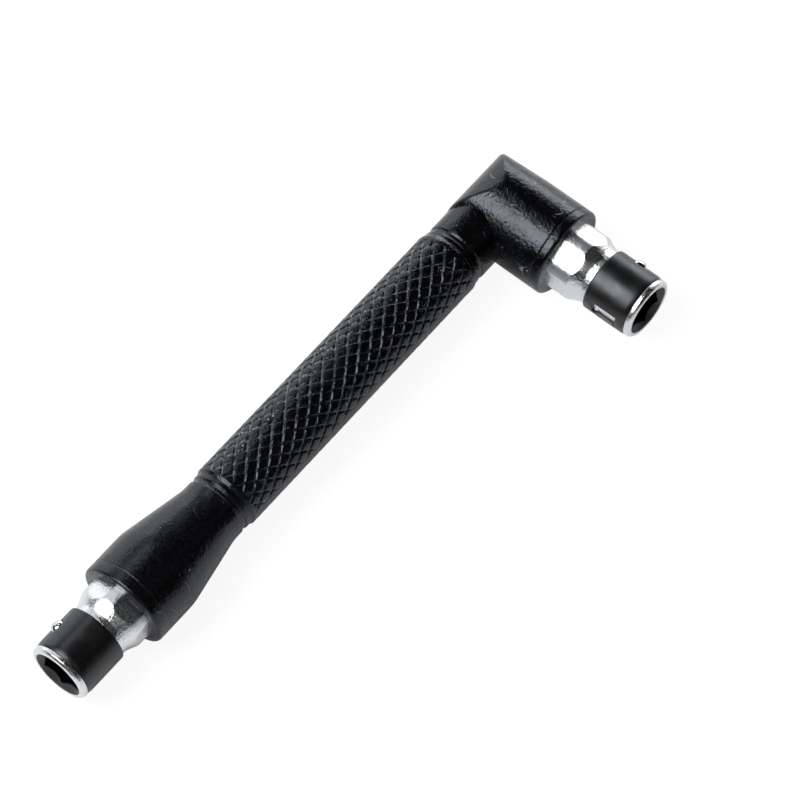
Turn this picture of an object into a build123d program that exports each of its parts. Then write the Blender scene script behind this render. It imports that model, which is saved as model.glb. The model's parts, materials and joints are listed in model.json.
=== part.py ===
from build123d import *
import math
import os

# Offset screwdriver for 1/4 in hex bits: one L-shaped cast body with a short arm at its head,
# and the same chromed bit socket pressed into the arm and into the tail of the handle.
# Each socket holds a bit by a small steel ball that a split spring sleeve keeps pressed inward.
# Millimetres. X runs along the handle from tail to head, the arm points to -Y and Z is up.
# The tool lies flat on its head and tail cylinders, with the origin under the middle of its box.

# --- overall ---------------------------------------------------------------------------------
tail_reach = 101.4        # arm axis to the mouth of the tail socket
arm_reach = 28.65         # handle axis to the mouth of the head socket
body_radius = 7.35        # head cylinder and tail cylinder

# --- head: a cylinder round the arm axis, its back rounded over by one round the handle -------
head_stand_out = 15.60    # mouth of the head socket beyond the head's front face
head_front = arm_reach - head_stand_out
head_taper_start = 4.0    # handle axis to where the draft towards the back begins
head_back_radius = 7.0    # radius that the draft ends at
back_radius = 7.40        # cross cylinder that rounds the back of the head
back_offset = 2.07        # handle axis to that cylinder's axis, towards the arm
crease_fillet = 0.60      # where the two cylinders meet
front_chamfer = 0.50
seam_from_front = 1.60    # fine ring seam behind the front edge
seam_width = 0.22
seam_depth = 0.14

# --- handle, stations measured from the arm axis towards the tail ------------------------------
neck_radius = 5.25
groove_radius = 5.03
groove_width = 1.05
groove_slope = 0.25
head_groove_at = 11.00    # middle of the ring groove at the head end
collar_start = 12.10
collar_full = 12.90
grip_start = 13.30
grip_radius = 5.55        # over the diamonds, and over the smooth lands along the mould line
grip_root_radius = 5.30   # bottom of the diamonds' grooves
land_half_angle = 15.0    # each side of the mould line, degrees
tail_stand_out = 14.10    # mouth of the tail socket beyond the tail face
tail_cylinder_length = 7.70
flare_length = 11.30
tail_neck_length = 2.30   # start of the flare back to the middle of the tail ring groove
tail_ring_length = 1.50   # that groove back to the foot of the grip's step
grip_step_length = 0.50
tail_chamfer = 0.50
tail_front = tail_reach - tail_stand_out
flare_end = tail_front - tail_cylinder_length
flare_start = flare_end - flare_length
tail_groove_at = flare_start - tail_neck_length
grip_step_end = tail_groove_at - tail_ring_length
grip_end = grip_step_end - grip_step_length

# --- bit socket, stations measured back from its mouth -----------------------------------------
hex_bar_flats = 10.6      # bar that the socket is turned from
hex_corner_radius = 5.60  # its corners, turned round
bit_flats = 6.40          # hex bore for a 6.35 mm bit
rim_length = 0.95
rim_radius = 5.00
rim_chamfer = 0.35
band_length = 7.60
band_radius = 5.10
band_thickness = 0.52
band_clearance = 0.03
band_seat_length = band_length + 2 * band_clearance
band_seat_radius = band_radius - band_thickness - band_clearance
neck_length = 1.05
socket_neck_radius = 4.76
cone_length = 1.95        # turned cone between the neck and the hex
socket_length = 24.60
lock_groove_from_end = 3.0
lock_groove_width = 1.6
lock_groove_radius = 4.60
bore_depth = 12.5
pilot_radius = 3.10
pilot_depth = 13.4
pilot_point = 1.7
mouth_radius = 4.15       # countersink at the mouth
mouth_depth = 0.85

# --- ball detent ------------------------------------------------------------------------------
ball_radius = 1.25
ball_centre_radius = 4.40  # socket axis to the ball's middle, with the socket empty
ball_travel = 0.50         # outward, over the corner of a bit
ball_clearance = 0.05
ball_from_mouth = rim_length + band_clearance + 0.52 * band_length
ball_throat_radius = 0.88  # lip that keeps the ball from falling into the bore

# --- spring sleeve ----------------------------------------------------------------------------
slit_width = 0.80          # between the ends of the rolled strip
notch_length = 4.30        # along the socket, cut into one end of the strip
notch_sweep = 36.0         # degrees from its closed side to the slit
notch_from_ball = 135.0    # degrees from the ball to its closed side
tongue_length = 3.60       # along the socket, on the other end of the strip
tongue_shift = 0.20        # towards the mouth
tongue_gap = 30.0          # degrees between its tip and the closed side of the notch

# --- where the pieces stand ---------------------------------------------------------------------
back_reach = back_radius - back_offset    # handle axis to the back of the head
head_x = (tail_reach - body_radius) / 2
head_y = (arm_reach - body_radius) / 2
axis_z = body_radius
centre = Vector(head_x, head_y, axis_z)
body_place = Location((head_x, head_y, axis_z))
# Both sockets have a corner of the bore straight up. Local Z leaves through the mouth.
head_mouth = Plane(origin=centre + Vector(0, -arm_reach, 0), x_dir=(0, 0, 1), z_dir=(0, -1, 0))
tail_mouth = Plane(origin=centre + Vector(-tail_reach, 0, 0), x_dir=(0, 0, 1), z_dir=(-1, 0, 0))
head_ball_angle = -60.0    # round the arm from straight up, on the side away from the handle
tail_ball_angle = 60.0     # round the handle from straight up, on the side away from the arm


def turned(points, axis):
    """Solid of revolution from a closed outline drawn beside its axis in the XY plane."""
    outline = make_face(Polyline(*points, close=True))
    return revolve(outline, axis)


def along_tail(points):
    """Handle outline from (station, radius) pairs: stations run towards -X."""
    return [(-station, radius) for station, radius in points]


def ring_groove(middle):
    """Outline points of a shallow ring groove round the handle."""
    top = groove_width / 2
    floor = top - groove_slope
    return [
        (middle - top, neck_radius),
        (middle - floor, groove_radius),
        (middle + floor, groove_radius),
        (middle + top, neck_radius),
    ]


# --- body: handle -------------------------------------------------------------------------------
handle_outline = [
    (0, 0),
    (0, neck_radius),
    *ring_groove(head_groove_at),
    (collar_start, neck_radius),
    (collar_full, grip_radius),
    (grip_end, grip_radius),
    (grip_step_end, neck_radius),
    *ring_groove(tail_groove_at),
    (flare_start, neck_radius),
    (flare_end, body_radius),
    (tail_front - tail_chamfer, body_radius),
    (tail_front, body_radius - tail_chamfer),
    (tail_front, 0),
]
handle = turned(along_tail(handle_outline), Axis.X)

# The knurled field is sunk to the diamonds' root above and below. Smooth lands stay between,
# along both sides of the grip, where the two halves of the mould meet.
land_height = 2 * grip_radius * math.sin(math.radians(land_half_angle))
grip_length = grip_end - grip_start
grip_middle = Location((-(grip_start + grip_end) / 2, 0, 0))
field = Cylinder(grip_radius + 1, grip_length) - Cylinder(grip_root_radius, grip_length)
field = Rot(0, 90, 0) * field - Box(grip_length + 1, 2 * grip_radius + 4, land_height)
handle -= grip_middle * field

# --- body: head -----------------------------------------------------------------------------------
seam_near = head_front - seam_from_front
head_outline = [
    (0, back_reach + 1),
    (0, -head_front),
    (body_radius - front_chamfer, -head_front),
    (body_radius, -head_front + front_chamfer),
    (body_radius, -seam_near - seam_width / 2),
    (body_radius - seam_depth, -seam_near),
    (body_radius, -seam_near + seam_width / 2),
    (body_radius, -head_taper_start),
    (head_back_radius, back_reach),
    (head_back_radius, back_reach + 1),
]
head = turned(head_outline, Axis.Y)

# A cylinder along the handle rounds the back. The two meet in mitred creases that fade at the top.
back_block = Rot(0, 90, 0) * Cylinder(back_radius, 3 * body_radius)
front_block = Pos(0, -head_front, 0) * Box(
    3 * body_radius,
    2 * head_front,
    2 * body_radius + 2,
)
head &= Pos(0, -back_offset, 0) * (back_block + front_block)
creases = head.edges().filter_by(GeomType.BSPLINE)
head = fillet(creases, crease_fillet)

# --- bit socket -----------------------------------------------------------------------------------
cone_start = rim_length + band_seat_length + neck_length
hex_start = cone_start + cone_length
band_start = rim_length + band_seat_length
lock_near = socket_length - lock_groove_from_end - lock_groove_width
lock_far = socket_length - lock_groove_from_end

# Turned front: rim, seat of the spring sleeve and neck. The outline is (radius, -station).
front_turned = turned(
    [
        (0, 0),
        (rim_radius - rim_chamfer, 0),
        (rim_radius, -rim_chamfer),
        (rim_radius, -rim_length),
        (band_seat_radius, -rim_length),
        (band_seat_radius, -band_start),
        (socket_neck_radius, -band_start),
        (socket_neck_radius, -cone_start),
        (0, -cone_start),
    ],
    Axis.Y,
)
# Hex bar behind it, with its corners, cone and locking groove turned.
bar_turned = turned(
    [
        (0, -cone_start),
        (socket_neck_radius, -cone_start),
        (hex_corner_radius, -hex_start),
        (hex_corner_radius, -lock_near),
        (lock_groove_radius, -lock_near),
        (lock_groove_radius, -lock_far),
        (hex_corner_radius, -lock_far),
        (hex_corner_radius, -socket_length),
        (0, -socket_length),
    ],
    Axis.Y,
)
upright = Rot(90, 0, 0)    # turns the outlines' axis onto Z, mouth up
hex_bar = Pos(0, 0, -socket_length) * extrude(
    RegularPolygon(hex_bar_flats / 2, 6, major_radius=False),
    socket_length - cone_start,
)
socket_blank = upright * front_turned + (upright * bar_turned & hex_bar)

hex_bore = Pos(0, 0, -bore_depth) * extrude(
    RegularPolygon(bit_flats / 2, 6, major_radius=False),
    bore_depth,
)
pilot = upright * turned(
    [
        (0, -bore_depth),
        (pilot_radius, -bore_depth),
        (pilot_radius, -pilot_depth),
        (0, -pilot_depth - pilot_point),
    ],
    Axis.Y,
)
mouth_cone = Pos(0, 0, -mouth_depth / 2) * Cone(
    mouth_radius - mouth_depth,
    mouth_radius,
    mouth_depth,
)
ball_spot = Pos(ball_centre_radius, 0, -ball_from_mouth)
seat_contact = math.radians(45)    # the ball sits on a 45 degree cone that narrows to its lip
seat_drop = ball_radius / math.cos(seat_contact) + ball_clearance
hole_radius = ball_radius + ball_clearance
hole_end = ball_centre_radius + ball_travel + ball_radius    # as far out as the ball comes
ball_hole = turned(
    [
        (0, 0),
        (ball_throat_radius, 0),
        (ball_throat_radius, ball_centre_radius - seat_drop + ball_throat_radius),
        (hole_radius, ball_centre_radius - seat_drop + hole_radius),
        (hole_radius, hole_end),
        (0, hole_end),
    ],
    Axis.Y,
)
ball_hole = Pos(0, 0, -ball_from_mouth) * Rot(0, 0, -90) * ball_hole


def bit_socket(ball_angle):
    """Socket with its hex bore, countersunk mouth and ball hole, mouth at the origin."""
    return socket_blank - hex_bore - pilot - mouth_cone - Rot(0, 0, ball_angle) * ball_hole


# --- spring sleeve: rolled strip, a tongue on one end in a notch in the other, a hole for the ball --
def strip(length, start, sweep):
    """Part of the rolled strip, at an angle from the ball and of a length along the socket."""
    arc = Cylinder(band_radius, length, arc_size=sweep)
    return Rot(0, 0, start) * (arc - Cylinder(band_radius - band_thickness, length))


band_middle = -(rim_length + band_clearance + band_length / 2)
slit_sweep = math.degrees(slit_width / band_radius)
strip_start = notch_from_ball + notch_sweep + slit_sweep
notch = strip(notch_length, notch_from_ball, notch_sweep + slit_sweep)
tongue_tip = notch_from_ball + tongue_gap
tongue = strip(tongue_length, tongue_tip, strip_start - tongue_tip)
sleeve = strip(band_length, strip_start, 360 - slit_sweep) - notch
sleeve += Pos(0, 0, tongue_shift) * tongue
spring_sleeve = Pos(0, 0, band_middle) * sleeve - ball_hole

ball = ball_spot * Sphere(ball_radius)

# --- the pieces in place --------------------------------------------------------------------------
head_turn = Rot(0, 0, head_ball_angle)
tail_turn = Rot(0, 0, tail_ball_angle)
head_at = head_mouth.location
tail_at = tail_mouth.location

body = body_place * (handle + head)
body -= head_at * socket_blank
body -= tail_at * socket_blank

pieces = {
    "body": body,
    "head_socket": head_at * bit_socket(head_ball_angle),
    "tail_socket": tail_at * bit_socket(tail_ball_angle),
    "head_spring_sleeve": head_at * head_turn * spring_sleeve,
    "tail_spring_sleeve": tail_at * tail_turn * spring_sleeve,
    "head_detent_ball": head_at * head_turn * ball,
    "tail_detent_ball": tail_at * tail_turn * ball,
}

os.makedirs("parts", exist_ok=True)
for name, piece in pieces.items():
    export_step(piece, "parts/" + name + ".step")
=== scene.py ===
"""Offset screwdriver: finished surfaces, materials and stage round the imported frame.

Metres, in the frame's own axes: X runs along the handle from tail to head, the arm
points to -Y, Z is up, and the tool lies on the floor at Z = 0.
"""

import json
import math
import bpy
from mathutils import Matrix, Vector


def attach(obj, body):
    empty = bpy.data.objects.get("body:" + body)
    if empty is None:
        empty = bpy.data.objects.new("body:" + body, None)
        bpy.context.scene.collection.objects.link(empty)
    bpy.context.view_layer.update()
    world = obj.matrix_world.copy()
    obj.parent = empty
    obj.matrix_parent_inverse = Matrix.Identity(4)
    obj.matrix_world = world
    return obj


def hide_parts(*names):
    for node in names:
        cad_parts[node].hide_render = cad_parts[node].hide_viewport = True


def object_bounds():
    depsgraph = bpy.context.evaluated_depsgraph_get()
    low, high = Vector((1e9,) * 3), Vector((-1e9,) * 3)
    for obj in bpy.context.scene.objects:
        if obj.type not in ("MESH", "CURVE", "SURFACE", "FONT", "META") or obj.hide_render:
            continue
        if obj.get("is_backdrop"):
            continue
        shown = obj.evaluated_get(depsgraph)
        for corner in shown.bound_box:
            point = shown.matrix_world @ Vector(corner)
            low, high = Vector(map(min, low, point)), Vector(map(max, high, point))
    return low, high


bl_info = {
    "name": "Offset Screwdriver",
    "version": (1, 0, 0),
    "blender": (4, 5, 0),
    "location": "3D View > Sidebar > Screwdriver",
    "description": "Cast body, knurled grip, bit sockets, spring sleeves and a studio stage",
    "category": "Add Mesh",
}

from functools import partial

import bmesh
import bpy
import numpy as np
from bpy.props import FloatProperty, FloatVectorProperty, IntProperty, PointerProperty
from mathutils import Matrix, Vector

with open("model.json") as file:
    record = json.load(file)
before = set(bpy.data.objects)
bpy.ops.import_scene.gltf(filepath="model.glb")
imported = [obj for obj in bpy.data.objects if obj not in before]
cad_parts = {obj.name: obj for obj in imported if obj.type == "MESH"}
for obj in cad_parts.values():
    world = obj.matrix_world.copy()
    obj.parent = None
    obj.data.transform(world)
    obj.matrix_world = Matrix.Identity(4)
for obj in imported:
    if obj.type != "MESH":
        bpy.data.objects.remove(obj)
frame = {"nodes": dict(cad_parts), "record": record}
CAD_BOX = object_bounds()
MOUNTS = {mount["name"]: mount for mount in frame["record"]["mounts"]}

MM = 0.001
DRIVER = "driver"

# The two axes cross at the middle of the head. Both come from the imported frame.
HEAD_MOUTH = Vector(MOUNTS["head_hex_socket"]["pos_m"])
TAIL_MOUTH = Vector(MOUNTS["tail_hex_socket"]["pos_m"])
CENTRE = Vector((HEAD_MOUTH.x, TAIL_MOUTH.y, HEAD_MOUTH.z))
TAIL_REACH = CENTRE.x - TAIL_MOUTH.x


def length(name, description, default):
    """A length property in metres, given in millimetres."""
    return FloatProperty(
        name=name, description=description, default=default * MM, min=0, unit="LENGTH", precision=5
    )


def angle(name, description, default):
    """An angle property, given in degrees."""
    return FloatProperty(
        name=name, description=description, default=math.radians(default), min=0, subtype="ANGLE"
    )


def linear(code):
    """An sRGB hex colour as linear red, green and blue."""
    channels = [int(code[i : i + 2], 16) / 255 for i in (1, 3, 5)]
    return tuple(c / 12.92 if c <= 0.04045 else ((c + 0.055) / 1.055) ** 2.4 for c in channels)


def colour(name, description, code):
    """A colour property from an sRGB hex code."""
    return FloatVectorProperty(
        name=name, description=description, default=linear(code), subtype="COLOR", min=0, max=1
    )


# --- sizes and colours that a user would change ---------------------------------------------


class CastingSizes(bpy.types.PropertyGroup):
    body_radius: length("Cylinder radius", "Head and tail, just inside the CAD's facets", 7.347)
    head_front: length("Head front", "Handle axis to the head's front face", 13.05)
    taper_start: length("Draft start", "Handle axis to where the head's draft begins", 4.0)
    back_taper_radius: length("Draft radius", "Head radius at its back", 7.0)
    back_radius: length("Back radius", "Cross cylinder that rounds the head's back", 7.40)
    back_offset: length("Back offset", "Handle axis to that cylinder's axis", 2.07)
    crease_round: length("Crease round", "Softness of the mitred creases", 0.9)
    front_round: length("Front edge", "Rounding of the head's and tail's end edges", 0.5)
    seam_from_front: length("Seam station", "Ring seam behind the head's front face", 1.60)
    seam_width: length("Seam width", "Width of the ring seam", 0.22)
    seam_depth: length("Seam depth", "Depth of the ring seam", 0.14)
    neck_radius: length("Neck radius", "Handle beside the head and before the flare", 5.25)
    groove_radius: length("Groove radius", "Bottom of the two ring grooves", 5.03)
    groove_width: length("Groove width", "Width of the two ring grooves", 1.05)
    head_groove: length("Head groove", "Arm axis to the ring groove beside the head", 11.0)
    collar_start: length("Collar start", "Arm axis to where the neck widens to the grip", 12.1)
    collar_full: length("Collar end", "Arm axis to where the collar is as wide as the grip", 12.9)
    tail_length: length("Tail cylinder", "Length of the cylinder at the handle's end", 7.7)
    flare_length: length("Flare", "Length of the cone between neck and tail cylinder", 11.3)
    tail_groove: length("Tail groove", "Flare to the ring groove beside it", 2.3)
    tail_seam: length("Tail seam", "Tail face to the faint ring seam", 2.1)
    tail_seam_depth: length("Tail seam depth", "Depth of the faint ring seam", 0.05)
    tail_stand_out: length("Tail stand-out", "Tail socket's mouth beyond the tail face", 14.10)


class KnurlSizes(bpy.types.PropertyGroup):
    grip_start: length("Grip start", "Arm axis to the first diamonds", 13.3)
    grip_end: length("Grip end", "Arm axis to the last diamonds", 64.0)
    grip_radius: length("Grip radius", "Over the diamonds", 5.55)
    groove_depth: length("Groove depth", "Depth of the V grooves between diamonds", 0.25)
    axial_pitch: length("Axial pitch", "Length of one diamond along the handle", 2.86)
    lines_round: IntProperty(
        name="Lines round", description="Diamonds in one turn of the grip", default=16, min=6
    )
    first_row: length("First row", "Grip start back to the first row of diamonds", 0.69)
    turn: FloatProperty(
        name="Turn", description="Turn of the lattice round the grip", default=math.radians(-3.7),
        subtype="ANGLE",
    )
    land_half_angle: angle("Land half angle", "Smooth strip each side of the mould line", 8.0)


class SocketSizes(bpy.types.PropertyGroup):
    hex_flats: length("Bar across flats", "Hex bar that the socket is turned from", 10.6)
    corner_radius: length("Corner radius", "The bar's corners, turned round", 5.60)
    bit_flats: length("Bore across flats", "Hex bore for a bit", 6.40)
    rim_length: length("Rim length", "Rim in front of the sleeve", 0.95)
    rim_radius: length("Rim radius", "Rim in front of the sleeve", 5.0)
    seat_radius: length("Seat radius", "Turned seat under the sleeve", 4.55)
    neck_radius: length("Neck radius", "Turned neck behind the sleeve", 4.76)
    neck_length: length("Neck length", "Turned neck behind the sleeve", 1.05)
    cone_length: length("Cone length", "Turned cone between neck and hex", 1.95)
    socket_length: length("Length", "Whole socket", 24.6)
    bore_depth: length("Bore depth", "Hex part of the bore", 12.5)
    mouth_radius: length("Mouth radius", "Countersink at the mouth", 4.15)


class SleeveSizes(bpy.types.PropertyGroup):
    band_length: length("Length", "Spring sleeve along the socket", 7.60)
    band_radius: length("Radius", "Outside of the spring sleeve", 5.10)
    thickness: length("Thickness", "Spring strip", 0.52)
    clearance: length("Clearance", "Gap to the rim and to the neck", 0.03)
    slit_width: length("Slit", "Gap between the ends of the rolled strip", 0.80)
    notch_length: length("Notch length", "Along the socket, cut into one end of the strip", 4.30)
    notch_sweep: angle("Notch sweep", "From the notch's closed side to the slit", 36.0)
    notch_from_ball: angle("Notch place", "Round the socket from the ball to the notch", 135.0)
    tongue_length: length("Tongue length", "Along the socket, on the strip's other end", 3.60)
    tongue_shift: length("Tongue shift", "Of the tongue towards the mouth", 0.20)
    tongue_gap: angle("Tongue gap", "From the tongue's tip to the notch's closed side", 30.0)
    ball_from_edge: length("Ball place", "From the sleeve's front edge to the ball", 3.952)
    ball_hole_radius: length("Ball hole", "Hole that the ball looks through", 1.30)
    edge_round: length("Edge round", "Rounding of the strip's edges", 0.09)


class Finishes(bpy.types.PropertyGroup):
    enamel: colour("Black enamel", "Paint on the casting", "#030304")
    # The same pale colour also paints the highlight along the knurl's grooves.
    enamel_specks_and_highlight: colour("Dust and scuffs", "Pale specks in the paint", "#B0B4BA")
    chrome: colour("Chrome", "Plating on the sockets", "#E2E3E4")
    # Near black: painted shade inside the bores and over their countersinks.
    bore: colour("Bare bore", "Unplated steel inside the bores", "#121213")
    oxide: colour("Black oxide", "Finish of the spring sleeves", "#08080A")
    ball: colour("Bearing steel", "Detent balls", "#D2D3D5")
    floor: colour("Floor", "Paper sweep under the tool", "#EDEDED")
    floor_shadow: colour("Shadow depth", "Part of the paper that the shadow darkens", "#6E6E6E")


# --- mesh helpers ---------------------------------------------------------------------------


def soften(corners, steps=5):
    """Replaces each (station, radius, round) corner by a short curve of its own size."""
    points = []
    for i, (station, radius, size) in enumerate(corners):
        here = np.array((station, radius))
        if size <= 0 or i in (0, len(corners) - 1):
            points.append(here)
            continue
        before = np.array(corners[i - 1][:2]) - here
        after = np.array(corners[i + 1][:2]) - here
        cut = min(size, 0.45 * np.linalg.norm(before), 0.45 * np.linalg.norm(after))
        start = here + before / np.linalg.norm(before) * cut
        end = here + after / np.linalg.norm(after) * cut
        for t in np.linspace(0, 1, steps):
            points.append((1 - t) ** 2 * start + 2 * t * (1 - t) * here + t**2 * end)
    return points


def divide(points, step):
    """Adds points on the long runs of an outline, so that its faces stay near square."""
    result = [points[0]]
    for a, b in zip(points, points[1:]):
        count = max(1, math.ceil(np.linalg.norm(b - a) / step))
        result += [a + (b - a) * k / count for k in range(1, count + 1)]
    return result


def ring(angles, station, radius):
    """One ring of points (across, up, along) round an axis; a pole where the radius is 0."""
    radius = np.broadcast_to(radius, angles.shape)
    if np.max(radius) < 1e-9:
        return np.array([[0.0, 0.0, station]])
    return np.stack(
        [radius * np.sin(angles), radius * np.cos(angles), np.full_like(angles, station)], axis=1
    )


def skin(rings):
    """Vertices and faces of the closed shell through rings of equal count and its two poles."""
    vertices = np.concatenate(rings)
    faces, first = [], 0
    for lower, upper in zip(rings, rings[1:]):
        second, m, n = first + len(lower), len(lower), len(upper)
        count = max(m, n)
        for i in range(count):
            j = (i + 1) % count
            if m == 1:
                faces.append((first, second + i, second + j))
            elif n == 1:
                faces.append((first + i, second, first + j))
            else:
                faces.append((first + i, second + i, second + j, first + j))
        first = second
    return vertices, faces


def new_piece(name, shells, sharp=50):
    """Joins closed shells of (vertices, faces) into one smooth object with faces outwards."""
    vertices, faces, offset = [], [], 0
    for points, loops in shells:
        points = np.asarray(points)
        volume = 0
        for loop in loops:
            a = points[loop[0]]
            for i in range(1, len(loop) - 1):
                volume += np.dot(a, np.cross(points[loop[i]], points[loop[i + 1]]))
        if volume < 0:
            loops = [loop[::-1] for loop in loops]
        vertices.append(points)
        faces += [tuple(i + offset for i in loop) for loop in loops]
        offset += len(points)
    mesh = bpy.data.meshes.new(name)
    mesh.from_pydata(np.concatenate(vertices).tolist(), [], faces)
    mesh.validate()
    mesh.shade_smooth()
    mesh.set_sharp_from_angle(angle=math.radians(sharp))
    piece = bpy.data.objects.new(name, mesh)
    bpy.context.scene.collection.objects.link(piece)
    return piece


def placed(points, across, up, along, origin):
    """Points given as (across, up, along) in the frame's axes, from an origin."""
    axes = np.array([across, up, along], dtype=float)
    return np.asarray(points) @ axes + np.array(origin)


def finish_piece(piece, body, slot, material, *nodes):
    """Gives a piece its material and its body, and hides the CAD nodes that it stands for. The slot
    is not used.
    """
    piece.data.materials.clear()
    piece.data.materials.append(material)
    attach(piece, body)
    if nodes:
        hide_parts(*nodes)


# --- materials ------------------------------------------------------------------------------

SMOOTH = {"interpolation_type": "SMOOTHSTEP"}    # for a Map Range with soft ends


def add(tree, kind, *places, **named):
    """Adds one node and gives it back. Names in small letters are its settings. The other names,
    and values without a name, are its inputs: each a value, a socket, or a node, which stands for
    its first output. A name such as _6 is the input at that place."""
    made = tree.nodes.new(kind)
    inputs = dict(enumerate(places))
    for name, value in named.items():
        if name.islower():
            setattr(made, name, value)
        else:
            inputs[int(name[1:]) if name[0] == "_" else name.replace("_", " ")] = value
    for place, value in inputs.items():
        if isinstance(value, bpy.types.Node):
            value = value.outputs[0]
        if isinstance(value, bpy.types.NodeSocket):
            tree.links.new(value, made.inputs[place])
        else:
            made.inputs[place].default_value = value
    return made


def new_material(name):
    """An empty node material, and the function that adds a node to it."""
    material = bpy.data.materials.new(name)
    material.use_nodes = True
    material.node_tree.nodes.clear()
    return material, partial(add, material.node_tree)


def black_enamel_on_die_cast_zinc(finishes):
    """Sprayed and stoved enamel over a die casting: a pebbled gloss that breaks up the studio
    lights, with grit under the paint, pale specks, handling scuffs, and a painted highlight
    along the knurl's grooves."""
    material, node = new_material("black_enamel_on_die_cast_zinc")
    place = node("ShaderNodeTexCoord").outputs["Object"]
    peel, grain, swell, crowd, rub, gaps, areas, uneven = (
        node("ShaderNodeTexNoise", Vector=place, Scale=scale, Detail=detail)
        for scale, detail in (
            (2100.0, 1.0),    # orange peel, about 0.5 mm across
            (5200.0, 2.0),    # fine grain of the spray, about 0.2 mm
            (330.0, 2.0),     # slow unevenness of the casting, about 3 mm
            (150.0, 2.0),     # clusters of grit, about 7 mm
            (120.0, 4.0),     # rubbed patches, about 8 mm
            (420.0, 1.0),     # gaps in the scratches, about 2.4 mm
            (75.0, 1.0),      # scratched areas, about 13 mm
            (700.0, 2.0),     # unevenness of the painted highlight in the grooves, about 1.4 mm
        )
    )
    # Grit under the paint: grains 0.3 mm wide and 0.9 mm apart, in clusters. Drawn coarser than
    # real dust so that single grains show at arm's length.
    cells = node("ShaderNodeTexVoronoi", Vector=place, Scale=1100.0, feature="F1").outputs
    grit = node("ShaderNodeMapRange", cells["Distance"], 0.08, 0.26, 1.0, 0.0, **SMOOTH)
    chance = node("ShaderNodeMapRange", cells["Color"], 0.50, 0.60, **SMOOTH)
    cluster = node("ShaderNodeMapRange", crowd, 0.50, 0.62, **SMOOTH)
    for part in (chance, cluster):
        grit = node("ShaderNodeMath", grit, part, operation="MULTIPLY")
    # Dust and chips: pale specks 0.2 mm across, a few to the square centimetre.
    cells = node("ShaderNodeTexVoronoi", Vector=place, Scale=560.0, feature="F1").outputs
    speck = node("ShaderNodeMapRange", cells["Distance"], 0.05, 0.10, 0.9, 0.0, **SMOOTH)
    chance = node("ShaderNodeMapRange", cells["Color"], 0.60, 0.64, **SMOOTH)
    wear_and_highlight = node("ShaderNodeMath", speck, chance, operation="MULTIPLY")
    # Hairline scratches: short bowed lines 0.05 mm wide, only in some areas.
    bow = node("ShaderNodeTexNoise", Vector=place, Scale=90.0, Detail=1.0).outputs["Color"]
    bent = node("ShaderNodeVectorMath", bow, (0.012, 0.012, 0.012), place, operation="MULTIPLY_ADD")
    line = node("ShaderNodeTexVoronoi", Vector=bent, Scale=170.0, feature="DISTANCE_TO_EDGE")
    scratch = node("ShaderNodeMapRange", line, 0.002, 0.006, 0.45, 0.0, **SMOOTH)
    broken = node("ShaderNodeMapRange", gaps, 0.54, 0.60, **SMOOTH)
    scratched = node("ShaderNodeMapRange", areas, 0.57, 0.62, **SMOOTH)
    for part in (broken, scratched):
        scratch = node("ShaderNodeMath", scratch, part, operation="MULTIPLY")
    # Painted highlight: pale lines 0.2 mm wide along the bottoms of the knurl's grooves, standing
    # for the light that the groove walls catch.
    groove = node("ShaderNodeAttribute", attribute_name="groove").outputs["Fac"]
    groove_highlight = node("ShaderNodeMapRange", groove, 0.42, 1.0, **SMOOTH)
    uneven = node("ShaderNodeMapRange", uneven, 0.40, 0.62, 0.06, 0.42, **SMOOTH)
    groove_highlight = node("ShaderNodeMath", groove_highlight, uneven, operation="MULTIPLY")
    # Specks, scratches and the painted groove highlight all take the same pale colour.
    for mark in (scratch, groove_highlight):
        wear_and_highlight = node("ShaderNodeMath", wear_and_highlight, mark, operation="MAXIMUM")
    tint = node(
        "ShaderNodeMix", Factor=wear_and_highlight, _6=(*finishes.enamel, 1), _7=(*finishes.enamel_specks_and_highlight, 1),
        data_type="RGBA",
    ).outputs[2]
    # The tail end has been handled more: duller and a little smoother than the head.
    tail, head = -0.035, 0.030
    along = node("ShaderNodeSeparateXYZ", place).outputs["X"]
    dull = node("ShaderNodeMapRange", along, tail, head, 0.08, 0.0, **SMOOTH)
    pebbled = node("ShaderNodeMapRange", along, tail, head, 0.75, 1.05, **SMOOTH)
    patch = node("ShaderNodeMapRange", rub, 0.52, 0.66, **SMOOTH)
    rough = node("ShaderNodeMapRange", peel, 0.3, 0.7, 0.15, 0.23, **SMOOTH)
    rough = node("ShaderNodeMath", patch, 0.08, rough, operation="MULTIPLY_ADD")
    rough = node("ShaderNodeMath", rough, dull, operation="ADD")
    height = 0.0
    for pattern, weight in ((peel, 0.8), (swell, 1.2), (grain, 0.28), (grit, 0.95)):
        height = node("ShaderNodeMath", pattern, weight, height, operation="MULTIPLY_ADD")
    height = node("ShaderNodeMath", height, pebbled, operation="MULTIPLY")
    bump = node("ShaderNodeBump", Strength=1.0, Distance=0.08 * MM, Height=height)
    shader = node(
        "ShaderNodeBsdfPrincipled", Base_Color=tint, Roughness=rough, IOR=1.5, Normal=bump,
        Specular_Tint=(0.86, 0.91, 1.0, 1.0),
    )
    node("ShaderNodeOutputMaterial", Surface=shader)
    return material


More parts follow.
